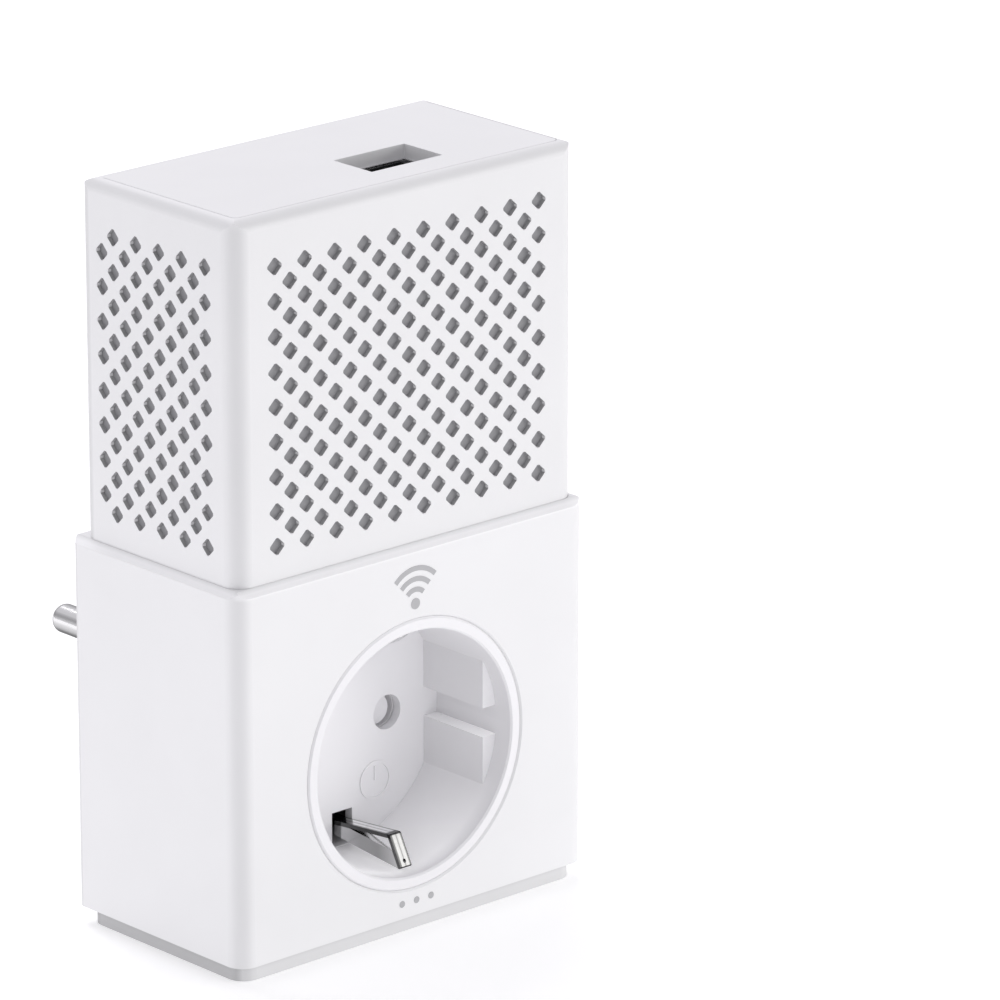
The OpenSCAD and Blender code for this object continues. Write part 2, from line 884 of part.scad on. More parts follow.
// Three rods in front of the lights, joined by a bar
module light_pipe() {
    bar_x = 28;
    bar_t = 1.5;
    bar_w = 2.4;
    color("lightcyan")
        union() {
            for (z = led_z)
                rod_x(button_y, z, side_board_x + board_t + 1.6, body_w / 2, led_r);
            block([bar_x, button_y - bar_w / 2, led_z[0] - bar_t],
                [bar_x + bar_t, button_y + bar_w / 2, led_z[2] + bar_t]);
        }
}

// Headers and wires that join the side board to the main board
module link_headers() {
    header_w = 4.6;
    header_d = 3.5;
    header_h = 3;
    side_y = main_back + 2.5;
    side_z = side_board_high[1] - 7;
    color("dimgray") {
        block([side_board_x + board_t, side_y, side_z],
            [side_board_x + board_t + header_w, side_y + header_d, side_z + header_h]);
        block([board_x - 0.4 - header_w, main_back, link_z],
            [board_x - 0.4, main_back + header_h, link_z + header_h]);
    }
}

module link_wires() {
    wires = 4;
    wire_pitch = 1.05;
    wire_r = 0.4;
    bend = 2.5;
    top_z = link_z + 1.5;
    low_z = side_board_high[1] - 4;
    straight = 4;
    header_y = main_back + 3;
    color("firebrick")
        for (wire = [0 : wires - 1]) {
            x = side_board_x + board_t + 0.7 + wire * wire_pitch;
            x_end = board_x - 4.4 + wire * wire_pitch;
            drift = (x_end - x) / (top_z - bend - low_z - straight);
            rise = [for (z = [low_z : straight : top_z - bend - 1])
                [x + drift * max(z - low_z - straight, 0), header_y + bend, z]];
            turn = [for (angle = [0 : 22.5 : 90])
                [x_end, header_y + bend * cos(angle), top_z - bend + bend * sin(angle)]];
            swept_wire(concat(rise, turn), wire_r, [1, 0, 0]);
        }
}

// ---- Main board ----

module main_board() {
    color("seagreen")
        difference() {
            block([-board_x, main_back - main_t, board_low], [board_x, main_back, board_high]);
            for (x = [-board_post_x, board_post_x], z = board_post_z)
                rod_y(x, z, main_back - main_t - 1, main_back + 1, screw_r + 0.2);
        }
}

// Flat part of thickness t on the back of the main board, y0 above its face
module main_part(low, size, t, y0 = 0) {
    block([low[0], main_back + y0, low[1]], [low[0] + size[0], main_back + y0 + t, low[1] + size[1]]);
}

module plc_chip() {
    color("dimgray")
        main_part(plc_low, plc_size, plc_t);
}

module chip_heat_sink() {
    over = 0.5;
    base_t = 1;
    fin_t = 1;
    fin_h = 3.6;
    fins = 7;
    size = plc_size + 2 * [over, over];
    step = (size[0] - fin_t) / (fins - 1);
    color("silver")
        union() {
            main_part(plc_low - [over, over], size, base_t, plc_t);
            for (fin = [0 : fins - 1])
                main_part(plc_low - [over - fin * step, over], [fin_t, size[1]], fin_h, plc_t);
        }
}

module memory_chip() {
    color("dimgray")
        main_part(memory_low, memory_size, 1);
}

module lan_magnetics() {
    color("dimgray")
        main_part(magnetics_low, magnetics_size, 4);
}

// Metal can on a thin flange
module crystal() {
    flange = 0.4;
    color("silver")
        union() {
            main_part(crystal_low, crystal_size, 3);
            main_part(crystal_low - [flange, flange], crystal_size + 2 * [flange, flange], flange);
        }
}

// Wound drum on a square base
module coupling_transformer() {
    middle = coupling_low + coupling_size / 2;
    color("gold")
        union() {
            main_part(coupling_low, coupling_size, 1.5);
            rod_y(middle[0], middle[1], main_back, main_back + 6, 3.4);
        }
}

module rj45_shield() {
    x0 = port_x - jack_w / 2;
    x1 = port_x + jack_w / 2;
    mouth_lip = 0.4;
    color("lightgray")
        difference() {
            block([x0, jack_front, jack_top - jack_h], [x1, jack_back, jack_top]);
            block([x0 + jack_wall, jack_front + jack_wall, jack_top - jack_h - 1],
                [x1 - jack_wall, jack_back - jack_wall, jack_top - jack_wall]);
            block([port_x - port_w / 2 + mouth_lip, port_y - port_d / 2 + mouth_lip, jack_top - 1],
                [port_x + port_w / 2 - mouth_lip, port_y + port_d / 2 - mouth_lip, jack_top + 1]);
        }
}

// Block with the plug's cavity and the channel for its latch
module rj45_insert() {
    x0 = port_x - jack_w / 2 + jack_wall;
    x1 = port_x + jack_w / 2 - jack_wall;
    latch_w = 6.4;
    latch_d = 1.2;
    color("dimgray")
        difference() {
            block([x0, jack_front + jack_wall, jack_top - jack_h],
                [x1, jack_back - jack_wall, jack_top - jack_wall]);
            block([port_x - plug_w / 2, port_y - plug_d / 2 + plug_shift, jack_top - cavity_depth],
                [port_x + plug_w / 2, port_y + plug_d / 2 + plug_shift, jack_top + 1]);
            block([port_x - latch_w / 2, port_y - plug_d / 2 - latch_d, jack_top - cavity_depth],
                [port_x + latch_w / 2, port_y, jack_top + 1]);
        }
}

// Eight sprung wires that slope along the back wall of the jack's cavity
module rj45_contacts() {
    contacts = 8;
    wire_w = 0.5;
    wire_t = 0.6;
    pitch = 1.02;
    spring_out = 2.4;
    root_z = jack_top - 3.5;
    tip_z = jack_top - 10.2;
    wall_y = port_y + plug_d / 2 + plug_shift;
    color("gold")
        for (pin = [0 : contacts - 1])
            translate([port_x + (pin - (contacts - 1) / 2) * pitch, 0, 0])
                slab_x(-wire_w / 2, wire_w / 2)
                    polygon([[wall_y, root_z], [wall_y, root_z - wire_t],
                        [wall_y - spring_out + 0.4, tip_z - 0.3], [wall_y - spring_out, tip_z]]);
}

// ---- Power board ----

module power_board() {
    color("seagreen")
        difference() {
            block([-board_x, power_front, board_low], [board_x, power_front + main_t, board_high]);
            for (x = [-board_post_x, board_post_x], z = board_post_z)
                rod_y(x, z, power_front - 1, power_front + main_t + 1, screw_r + 0.2);
        }
}

// Pin strip that joins the two boards
module board_header() {
    color("dimgray")
        block([17, main_back, 99], [26, power_front, 101.6]);
}

// Low edge of a window in the transformer core; the two windows lie inside its outer legs
function window_x(window) = core_low[0] + core_leg
    + window * (core_size[0] - 2 * core_leg - core_window);

module power_transformer() {
    core_front = power_front - core_d;
    color("dimgray")
        difference() {
            block([core_low[0], core_front, core_low[1]],
                [core_low[0] + core_size[0], power_front, core_low[1] + core_size[1]]);
            for (window = [0, 1])
                block([window_x(window), core_front - 1, core_low[1] - 1],
                    [window_x(window) + core_window, power_front - 1.5, core_low[1] + core_size[1] + 1]);
        }
}

// Two wound halves in the windows of the transformer core
module transformer_winding() {
    gap = 0.2;
    inset_end = 0.8;
    color("khaki")
        for (window = [0, 1])
            block([window_x(window) + gap, power_front - core_d + inset_end, core_low[1] + inset_end],
                [window_x(window) + core_window - gap, power_front - 2,
                    core_low[1] + core_size[1] - inset_end]);
}

module bulk_capacitor() {
    color("midnightblue")
        translate([-17, 5, 63])
            cylinder(h = 22, r = 5.6);
}

module safety_capacitor() {
    color("goldenrod")
        block([-8, -1, 62], [7, power_front, 69]);
}

module choke_core() {
    color("dimgray")
        translate(choke_at)
            rotate([90, 0, 0])
                rotate_extrude()
                    translate([choke_r, 0])
                        circle(2.2);
}

// Two groups of wire rings round the choke's core
module choke_winding() {
    turns = 7;
    turn_angle = 18;
    color("peru")
        for (side = [0, 180], turn = [0 : turns - 1])
            translate(choke_at)
                rotate([0, side + (turn - (turns - 1) / 2) * turn_angle, 0])
                    translate([choke_r, 0, 0])
                        rotate_extrude()
                            translate([choke_wire_r, 0])
                                circle(0.35);
}

module line_fuse() {
    color("saddlebrown")
        rod_y(22, 74, 3, power_front, 3.8);
}

// Disc on two leads
module varistor() {
    disc_h = 3.6;
    lead_x = 2.5;
    color("royalblue")
        union() {
            translate(varistor_at)
                cylinder(h = disc_h, r = 4.6);
            for (x = [-lead_x, lead_x])
                rod_y(varistor_at[0] + x, varistor_at[2] + disc_h / 2, 8, power_front, 0.4);
        }
}

module output_capacitors() {
    color("midnightblue")
        for (z = [93.5, 110])
            rod_y(21, z, 0.5, power_front, 3.6);
}

// ---- Fasteners ----

// Screw along Y with a cross in its head, whose back stands at head_back
module screw(x, z, head_back, length) {
    cross_l = 3;
    cross_w = 0.5;
    rod_y(x, z, head_back - screw_head_h - length, head_back - screw_head_h + eps, screw_r);
    difference() {
        rod_y(x, z, head_back - screw_head_h, head_back, screw_head_r);
        for (angle = [0, 90])
            translate([x, head_back - 0.8, z])
                rotate([0, angle, 0])
                    translate([-cross_l / 2, 0, -cross_w / 2])
                        cube([cross_l, 1, cross_w]);
    }
}

module case_screws() {
    color("gray")
        for (x = [-post_x, post_x]) {
            screw(x, post_z[0], back_y - 0.2, screw_len);
            screw(x, post_z[1], column_back - 0.2, screw_len);
        }
}

module board_screws() {
    color("gray")
        for (x = [-board_post_x, board_post_x], z = board_post_z) {
            screw(x, z, main_back + screw_head_h, board_screw_len);
            translate([0, 2 * power_front, 0])
                mirror([0, 1, 0])
                    screw(x, z, power_front + screw_head_h, board_screw_len);
        }
}

front_shell();
top_plate();
vent_liner();
lower_sleeve();
rear_cover();
fascia_mark();
socket_insert();
shutter();
shutter_spring();
contact_carrier();
line_contact(-1);  // line_contact_left
line_contact(1);  // line_contact_right
line_bar(-1);  // line_bar_left
line_bar(1);  // line_bar_right
earth_clip(1);  // earth_clip_top
earth_clip(-1);  // earth_clip_bottom
earth_strap();
plug_pin(-1);  // plug_pin_left
plug_pin(1);  // plug_pin_right
plug_earth(1);  // plug_earth_top
plug_earth(-1);  // plug_earth_bottom
pair_button();
switch_plunger();
pair_switch();
side_board();
status_leds();
light_pipe();
link_headers();
link_wires();
main_board();
plc_chip();
chip_heat_sink();
memory_chip();
lan_magnetics();
crystal();
coupling_transformer();
rj45_shield();
rj45_insert();
rj45_contacts();
power_board();
board_header();
power_transformer();
transformer_winding();
bulk_capacitor();
safety_capacitor();
choke_core();
choke_winding();
line_fuse();
varistor();
output_capacitors();
case_screws();
board_screws();
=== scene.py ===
"""Looks of the powerline adapter: materials, studio light and camera around the CAD."""
import json
import math

import bpy
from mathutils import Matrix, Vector


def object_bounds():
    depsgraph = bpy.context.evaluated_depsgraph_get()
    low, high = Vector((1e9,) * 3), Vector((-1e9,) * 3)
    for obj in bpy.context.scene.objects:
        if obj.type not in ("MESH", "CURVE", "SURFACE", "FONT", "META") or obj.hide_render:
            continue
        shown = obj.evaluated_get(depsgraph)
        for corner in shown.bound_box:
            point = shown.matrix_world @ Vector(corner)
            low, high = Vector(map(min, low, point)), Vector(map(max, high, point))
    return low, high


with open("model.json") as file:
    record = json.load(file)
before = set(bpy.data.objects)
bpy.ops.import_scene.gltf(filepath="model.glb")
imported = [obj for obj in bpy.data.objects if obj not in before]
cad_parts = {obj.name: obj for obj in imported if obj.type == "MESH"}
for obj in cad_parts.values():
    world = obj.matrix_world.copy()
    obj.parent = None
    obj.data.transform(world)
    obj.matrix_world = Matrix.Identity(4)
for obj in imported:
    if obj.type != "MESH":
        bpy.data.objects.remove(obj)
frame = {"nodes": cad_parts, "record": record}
cad_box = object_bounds()

MM = 0.001
BODY_HEIGHT = 121 * MM
SOCKET_HEIGHT = 29.3 * MM

# Places of the colours among the sockets of a mix node
COLOUR_A = 6
COLOUR_B = 7
COLOUR_RESULT = 2


# ---- Tones ----

WHITE = (0.868, 0.868, 0.874)
# The socket's white is lighter than the casing's: painted light that brightens the shaded recess
INSIDE = (0.91, 0.905, 0.92)
DARK = (0.018, 0.018, 0.02)

# Moulded surfaces: size of the grain, its depth, and the change of roughness over it
GRAIN = 0.35 * MM
GRAIN_DEPTH = 0.006 * MM
GRAIN_GLOSS = 0.05

# Painted light and shade on the casing at heights in millimetres, on the front and on the sides, at the base
# and the ledge
FRONT_PAINTED_SHADING = [(0.0, 0.9), (1.6, 0.88), (2.6, 0.72), (2.75, 1.04), (12.0, 1.0), (62.2, 1.0), (62.4, 1.12),
               (63.2, 1.14), (63.45, 0.84), (63.75, 0.97), (119.0, 0.94), (121.0, 1.0)]
SIDE_PAINTED_SHADING = [(0.0, 0.64), (1.6, 0.6), (2.6, 0.46), (2.75, 1.0), (62.2, 1.0), (62.4, 0.98), (63.2, 1.02),
              (63.45, 0.84), (63.75, 0.99), (119.0, 0.95), (121.0, 1.0)]

# Rounded edges of the casing by the way they face, and the painted shade on them. The top edges count only
# above a share of the body's height, and the upright rear edges get painted shade once more.
UPRIGHT_EDGES = [(-1, -1, 0), (1, -1, 0), (-1, 1, 0), (1, 1, 0)]
TOP_EDGES = [(0, -1, 1), (-1, 0, 1), (1, 0, 1), (0, 1, 1)]
EDGE_PAINTED_SHADE = [(0.87, 1.0), (0.94, 0.97), (1.0, 0.91)]
TOP_HEIGHTS = [(0.8, 0.0), (0.81, 1.0)]
REAR_EDGES = [(-1, 1, 0), (1, 1, 0)]
REAR_PAINTED_SHADE = [(0.87, 1.0), (0.92, 0.87)]

# Painted shade on the back and the right side, which the lamps light most
BRIGHT_FACES = [(0, 1, 0), (1, 0, 0)]
BRIGHT_PAINTED_SHADE = [(0.9, 1.0), (1.0, 0.8)]

# Walls of the vent holes: the heights in millimetres that they lie between, the way they face, the painted
# shade on them
VENT_HEIGHTS = [(65.0, 0.0), (65.2, 1.0), (117.0, 1.0), (117.2, 0.0)]
VENT_WALLS = [(-1, 0, 1), (-1, 0, -1), (0, -1, 1), (0, -1, -1)]
VENT_PAINTED_SHADE = [(0.95, 1.0), (0.98, 0.5)]

# Depths of the socket's recess, measured along Y, and the strength of the painted light that glows on its
# floor and lower wall
RECESS_MOUTH = -19.3 * MM
RECESS_LIT_FROM = -16.5 * MM
RECESS_FRONT = -16 * MM
RECESS_FLOOR = -2 * MM
FLOOR_PAINTED_LIGHT = 0.05
WALL_PAINTED_LIGHT = 0.24

# Plug pins: painted reflections as tones from the underside to the top, and the tint of what they reflect at
# grazing angles
PIN_PAINTED_REFLECTIONS = [(0.05, 0.15), (0.14, 0.22), (0.23, 0.3), (0.33, 0.5), (0.46, 0.62), (0.55, 0.83), (0.63, 0.8),
             (0.7, 0.56), (0.74, 0.5), (0.79, 0.63), (0.84, 0.9), (0.91, 0.95), (1.0, 1.0)]
PIN_RIM = (0.4, 0.4, 0.4, 1)

# Earth clip below the socket's axis: where its ridge, leaf and nose stand and how they face
CLIP_WIDTH = 2.3 * MM
CLIP_RIDGE_Y = -14.35 * MM
CLIP_UP = (0, -0.42, 0.906)
LEAF_NORMAL = (0, 0.0927, 0.9957)
LEAF_AT = 13.48 * MM
NOSE_NORMAL = (0, -0.88, 0.475)
NOSE_AT = 19.86 * MM
STRIP_EDGE = 0.75 * MM

# Painted reflections and shade on the clip: its faces, streaks across its width, the dark ridge, the nose,
# the outline, the return, and the clip above the socket's axis
CLIP_FACE_REFLECTIONS = [(0.0, 0.9), (0.25, 0.9), (0.4, 0.3), (0.6, 0.3), (0.85, 0.95), (1.0, 0.95)]
CLIP_STREAK_REFLECTIONS = [(0.0, 0.25), (0.12, 0.3), (0.2, 1.0), (0.42, 0.9), (0.5, 0.45), (0.58, 0.9), (0.8, 1.0),
                (0.9, 0.35), (1.0, 0.2)]
CLIP_RIDGE_REFLECTION = [(0.0, 1.0), (0.2, 0.9), (0.27, 0.08), (0.65, 0.08), (0.8, 0.9), (1.0, 1.0)]
CLIP_NOSE_REFLECTION = [(0.6, 1.0), (0.9, 0.3)]
CLIP_OUTLINE_SHADE = [(0.0, 1.0), (0.15, 0.2)]
CLIP_RETURN_SHADE = [(0.0, 0.6), (0.3, 0.38), (0.6, 0.45), (1.0, 0.75)]
UPPER_CLIP_REFLECTION = [(0.0, 0.9), (1.0, 0.7)]

# Worked metal: size of the drawing marks and of the tarnished patches, and how dark these are
MARK_SIZE = 0.3 * MM
TARNISH_SIZE = 4 * MM
TARNISH = 0.08

OFF_TO_ON = [(0.0, 0.0), (1.0, 1.0)]


# ---- Material helpers ----

class Nodes:
    """Builds one node material whose coordinates stay with the piece."""

    def __init__(self, name):
        self.material = bpy.data.materials.new(name)
        self.material.use_nodes = True
        self.tree = self.material.node_tree
        self.tree.nodes.clear()
        self.output = self.add("ShaderNodeOutputMaterial")
        self.shader = self.add("ShaderNodeBsdfPrincipled")
        self.link(self.shader, "BSDF", self.output, "Surface")
        self.place = self.add("ShaderNodeTexCoord")

    def add(self, kind):
        return self.tree.nodes.new(kind)

    def link(self, source, out, target, into):
        self.tree.links.new(source.outputs[out], target.inputs[into])

    def set(self, **values):
        """Uniform values of the shader; an underscore stands for the space in a socket's name."""
        for name, value in values.items():
            self.shader.inputs[name.replace("_", " ")].default_value = value

    def stretched(self, scale):
        """Object coordinates scaled per axis."""
        mapping = self.add("ShaderNodeMapping")
        mapping.inputs["Scale"].default_value = scale
        self.link(self.place, "Object", mapping, "Vector")
        return mapping

    def noise(self, size, detail=3.0, scale=(1, 1, 1)):
        """Noise whose grains are about size across."""
        node = self.add("ShaderNodeTexNoise")
        node.inputs["Scale"].default_value = 1 / size
        node.inputs["Detail"].default_value = detail
        self.link(self.stretched(scale), "Vector", node, "Vector")
        return node

    def ramp(self, source, out, stops):
        """Colour ramp; stops are (place, colour)."""
        node = self.add("ShaderNodeValToRGB")
        while len(node.color_ramp.elements) < len(stops):
            node.color_ramp.elements.new(0.5)
        for element, (place, colour) in zip(node.color_ramp.elements, stops):
            element.position = place
            element.color = (*colour, 1)
        self.link(source, out, node, "Fac")
        return node

    def spread(self, source, out, low, high):
        """Maps 0..1 to low..high."""
        node = self.add("ShaderNodeMapRange")
        node.inputs["To Min"].default_value = low
        node.inputs["To Max"].default_value = high
        self.link(source, out, node, "Value")
        return node

    def facing(self, direction):
        """How far each spot of the surface faces a direction, from 0 (away) to 1 (towards)."""
        geometry = self.add("ShaderNodeNewGeometry")
        return self.share(geometry, "Normal", direction, -1, 1)

    def along(self, direction, low, high):
        """Distance along a direction of the part, mapped so that low gives 0 and high gives 1."""
        return self.share(self.place, "Object", direction, low, high)

    def share(self, source, out, direction, low, high):
        """A vector's length along a direction, mapped so that low gives 0 and high gives 1."""
        dot = self.add("ShaderNodeVectorMath")
        dot.operation = "DOT_PRODUCT"
        dot.inputs[1].default_value = Vector(direction).normalized()
        self.link(source, out, dot, 0)
        mapped = self.add("ShaderNodeMapRange")
        mapped.inputs["From Min"].default_value = low
        mapped.inputs["From Max"].default_value = high
        self.link(dot, "Value", mapped, "Value")
        return mapped

    def greys(self, source, stops):
        """Grey ramp; stops are (place, level)."""
        return self.ramp(source, "Result", [(place, (level,) * 3) for place, level in stops]), "Color"

    def combine(self, blend, first, second, factor=None):
        """Blends two colours given as (node, output); factor is a third such pair or fully on."""
        mix = self.add("ShaderNodeMix")
        mix.data_type = "RGBA"
        mix.blend_type = blend
        mix.inputs["Factor"].default_value = 1.0
        if factor:
            self.link(*factor, mix, "Factor")
        self.link(*first, mix, COLOUR_A)
        self.link(*second, mix, COLOUR_B)
        return mix, COLOUR_RESULT

    def bump(self, source, out, depth, strength=1.0):
        node = self.add("ShaderNodeBump")
        node.inputs["Strength"].default_value = strength
        node.inputs["Distance"].default_value = depth
        self.link(source, out, node, "Height")
        self.link(node, "Normal", self.shader, "Normal")


def shade(colour, factor):
    return tuple(min(1.0, channel * factor) for channel in colour)


# ---- Plastics ----

def mottled(n, colour, patch, darker, lighter):
    """Colour that changes faintly between broad patches."""
    broad = n.noise(patch, 2.0)
    return n.ramp(broad, "Fac", [(0.3, shade(colour, darker)), (0.7, shade(colour, lighter))]), "Color"


def moulded(n, rough, grain=GRAIN, depth=GRAIN_DEPTH):
    """Fine spark-eroded grain in the surface and in its gloss."""
    fine = n.noise(grain, 4.0)
    gloss = n.spread(fine, "Fac", rough - GRAIN_GLOSS, rough + GRAIN_GLOSS)
    n.link(gloss, "Result", n.shader, "Roughness")
    n.bump(fine, "Fac", depth)
    n.set(Specular_IOR_Level=0.4)


def plastic(name, colour, rough=0.42, grain=GRAIN, vary=0.015):
    """Moulded plastic of one colour."""
    n = Nodes(name)
    n.link(*mottled(n, colour, 18 * MM, 1 - vary, 1 + vary), n.shader, "Base Color")
    moulded(n, rough, grain)
    return n.material


def casing(name, colour):
    """Casing plastic with painted shade on its rounded edges, back, right side, base and vent walls, and
    painted light and shade at the sleeve's ledge.
    """
    n = Nodes(name)
    tone = mottled(n, colour, 18 * MM, 0.99, 1.01)
    height = n.along((0, 0, 1), 0, BODY_HEIGHT)
    front, side, vents = (n.greys(height, [(z * MM / BODY_HEIGHT, level) for z, level in bands])
                          for bands in (FRONT_PAINTED_SHADING, SIDE_PAINTED_SHADING, VENT_HEIGHTS))
    sideways = n.greys(n.facing((-1, 0, 0)), [(0.85, 0.0), (0.95, 1.0)])
    tone = n.combine("MULTIPLY", tone, n.combine("MIX", front, side, sideways))
    top = n.greys(height, TOP_HEIGHTS)
    for edge in UPRIGHT_EDGES:
        tone = n.combine("MULTIPLY", tone, n.greys(n.facing(edge), EDGE_PAINTED_SHADE))
    for edge in TOP_EDGES:
        tone = n.combine("MULTIPLY", tone, n.greys(n.facing(edge), EDGE_PAINTED_SHADE), top)
    for edge in REAR_EDGES:
        tone = n.combine("MULTIPLY", tone, n.greys(n.facing(edge), REAR_PAINTED_SHADE))
    for face in BRIGHT_FACES:
        tone = n.combine("MULTIPLY", tone, n.greys(n.facing(face), BRIGHT_PAINTED_SHADE))
    for wall in VENT_WALLS:
        tone = n.combine("MULTIPLY", tone, n.greys(n.facing(wall), VENT_PAINTED_SHADE), vents)
    n.link(*tone, n.shader, "Base Color")
    moulded(n, 0.42)
    return n.material


def socket_plastic(name, colour):
    """Socket plastic: painted shade on the side walls, and painted light glowing on the floor and lower wall
    in place of light scattered inside.
    """
    n = Nodes(name)
    tone = mottled(n, colour, 12 * MM, 0.99, 1)
    tone = n.combine("MULTIPLY", tone, n.greys(n.facing((-1, 0, 0)), [(0.7, 1.0), (1.0, 0.85)]))
    n.link(*tone, n.shader, "Base Color")
    inside = n.greys(n.along((0, 1, 0), RECESS_MOUTH, RECESS_LIT_FROM), OFF_TO_ON)
    fading = n.greys(n.along((0, 1, 0), RECESS_FRONT, RECESS_FLOOR), [(0, 1), (0.98, 0.3), (1, 0)])
    forward = n.greys(n.facing((0, -1, 0)), [(0.6, 0.0), (1.0, FLOOR_PAINTED_LIGHT)])
    upward = n.greys(n.facing((0.2, 0, 1)), [(0.6, 0.0), (1.0, WALL_PAINTED_LIGHT)])
    upward = n.combine("MULTIPLY", upward, fading)
    painted_glow = n.combine("MULTIPLY", n.combine("ADD", forward, upward), inside)
    n.link(*painted_glow, n.shader, "Emission Color")
    n.set(Emission_Strength=1.0)
    moulded(n, 0.37, depth=GRAIN_DEPTH / 2)
    return n.material


def clear_plastic(name):
    """Clear moulded light guide with faint flow marks."""
    n = Nodes(name)
    flow = n.noise(1.2 * MM, 2.0, (1, 1, 0.3))
    tone = n.ramp(flow, "Fac", [(0.3, (0.86, 0.9, 0.92)), (0.7, (0.95, 0.97, 0.98))])
    n.link(tone, "Color", n.shader, "Base Color")
    n.bump(flow, "Fac", 0.01 * MM, 0.4)
    n.set(Roughness=0.12, Transmission_Weight=0.85, IOR=1.49)
    return n.material


def banded(name, colour, dark, pitch, rough=0.4):
    """Layers of tape or turns of wire, seen as fine bands one above the other."""
    wave_repeat = 0.314  # distance between the bands of a wave texture of scale 1
    n = Nodes(name)
    wave = n.add("ShaderNodeTexWave")
    wave.bands_direction = "Z"
    wave.inputs["Scale"].default_value = wave_repeat / pitch
    wave.inputs["Distortion"].default_value = 0.6
    n.link(n.place, "Object", wave, "Vector")
    tone = n.ramp(wave, "Fac", [(0.1, dark), (0.6, colour)])
    n.link(tone, "Color", n.shader, "Base Color")
    n.bump(wave, "Fac", 0.08 * MM, 0.7)
    n.set(Roughness=rough)
    return n.material


def circuit_board(name):
    """Green solder mask over copper tracks, with tinned pads."""
    n = Nodes(name)
    tracks = n.add("ShaderNodeTexBrick")
    tracks.inputs["Scale"].default_value = 1 / (6 * MM)
    tracks.inputs["Mortar Size"].default_value = 0.06
    tracks.inputs["Mortar Smooth"].default_value = 0.2
    tracks.inputs["Color1"].default_value = (0.012, 0.09, 0.035, 1)
    tracks.inputs["Color2"].default_value = (0.014, 0.11, 0.04, 1)
    tracks.inputs["Mortar"].default_value = (0.03, 0.2, 0.08, 1)
    turned = n.stretched((1, 1, 1))
    turned.inputs["Rotation"].default_value = (math.radians(90), 0, 0)
    n.link(turned, "Vector", tracks, "Vector")
    pads = n.add("ShaderNodeTexVoronoi")
    pads.inputs["Scale"].default_value = 1 / (3.2 * MM)
    n.link(turned, "Vector", pads, "Vector")
    pad_mask = n.ramp(pads, "Distance", [(0.11, (1, 1, 1)), (0.13, (0, 0, 0))])
    solder = n.ramp(pads, "Distance", [(0.0, (0.6, 0.6, 0.57)), (0.1, (0.5, 0.5, 0.47))])
    coated = n.combine("MIX", (tracks, "Color"), (solder, "Color"), (pad_mask, "Color"))
    n.link(*coated, n.shader, "Base Color")
    n.bump(tracks, "Fac", 0.03 * MM, 0.6)
    n.set(Roughness=0.35, Specular_IOR_Level=0.5)
    return n.material


# ---- Metals ----

def polish(n, rough, stretch, depth, strength):
    """Metal finish with faint drawing marks."""
    marks = n.noise(MARK_SIZE, 3.0, stretch)
    gloss = n.spread(marks, "Fac", rough * 0.7, rough * 1.3)
    n.link(gloss, "Result", n.shader, "Roughness")
    n.bump(marks, "Fac", depth, strength)
    n.set(Metallic=1.0)


def bright_polish(n, rough):
    """Finish of the bright parts, drawn along Y."""
    polish(n, rough, (1, 0.15, 1), 0.003 * MM, 0.4)


def metal(name, colour, rough=0.2, stretch=(1, 1, 1)):
    """Worked metal: fine marks along the rolling direction and slight tarnish."""
    n = Nodes(name)
    patches = n.noise(TARNISH_SIZE, 3.0)
    tone = n.ramp(patches, "Fac", [(0.35, shade(colour, 1 - TARNISH)), (0.65, colour)])
    n.link(tone, "Color", n.shader, "Base Color")
    polish(n, rough, stretch, 0.004 * MM, 0.5)
    return n.material


def plated(name, stops, direction, rough):
    """Bright plating with painted reflections: the tone follows which way the surface faces, as reflections
    in a studio do.
    """
    n = Nodes(name)
    n.link(*n.greys(n.facing(direction), stops), n.shader, "Base Color")
    n.set(Specular_Tint=PIN_RIM)
    bright_polish(n, rough)
    return n.material


def strip_outside(n):
    """On over the top of the clip's leaf and over its nose, off elsewhere."""
    leaf = n.greys(n.along(LEAF_NORMAL, LEAF_AT - 1.2 * MM, LEAF_AT - 1.0 * MM), OFF_TO_ON)
    nose = n.greys(n.facing((0, -1, 0)), [(0.8, 0.0), (0.9, 1.0)])
    return n.combine("ADD", leaf, nose)


def strip_face_reflections(n):
    """Painted reflections on the clip's broad faces: streaks, with a dark ridge where the strip is bent."""
    faces = n.greys(n.facing(CLIP_UP), CLIP_FACE_REFLECTIONS)
    streaks = n.greys(n.along((1, 0, 0), -CLIP_WIDTH / 2, CLIP_WIDTH / 2), CLIP_STREAK_REFLECTIONS)
    ridge = n.greys(n.along((0, 1, 0), CLIP_RIDGE_Y - 0.8 * MM, CLIP_RIDGE_Y + 1.6 * MM), CLIP_RIDGE_REFLECTION)
    outside = strip_outside(n)
    for layer in (streaks, ridge):
        faces = n.combine("MULTIPLY", faces, layer, outside)
    return n.combine("MULTIPLY", faces, n.greys(n.facing((0, -1, 0)), CLIP_NOSE_REFLECTION))


def strip_side_shade(n):
    """Painted shade on the clip's sheared sides: a dark outline along leaf and nose, mid grey on the return.
    """
    sides = n.greys(n.along((0, 1, 0), RECESS_FRONT, RECESS_FLOOR), CLIP_RETURN_SHADE)
    for normal, at in ((LEAF_NORMAL, LEAF_AT), (NOSE_NORMAL, NOSE_AT)):
        outline = n.greys(n.along(normal, at - STRIP_EDGE, at), CLIP_OUTLINE_SHADE)
        sides = n.combine("MULTIPLY", sides, outline)
    return sides


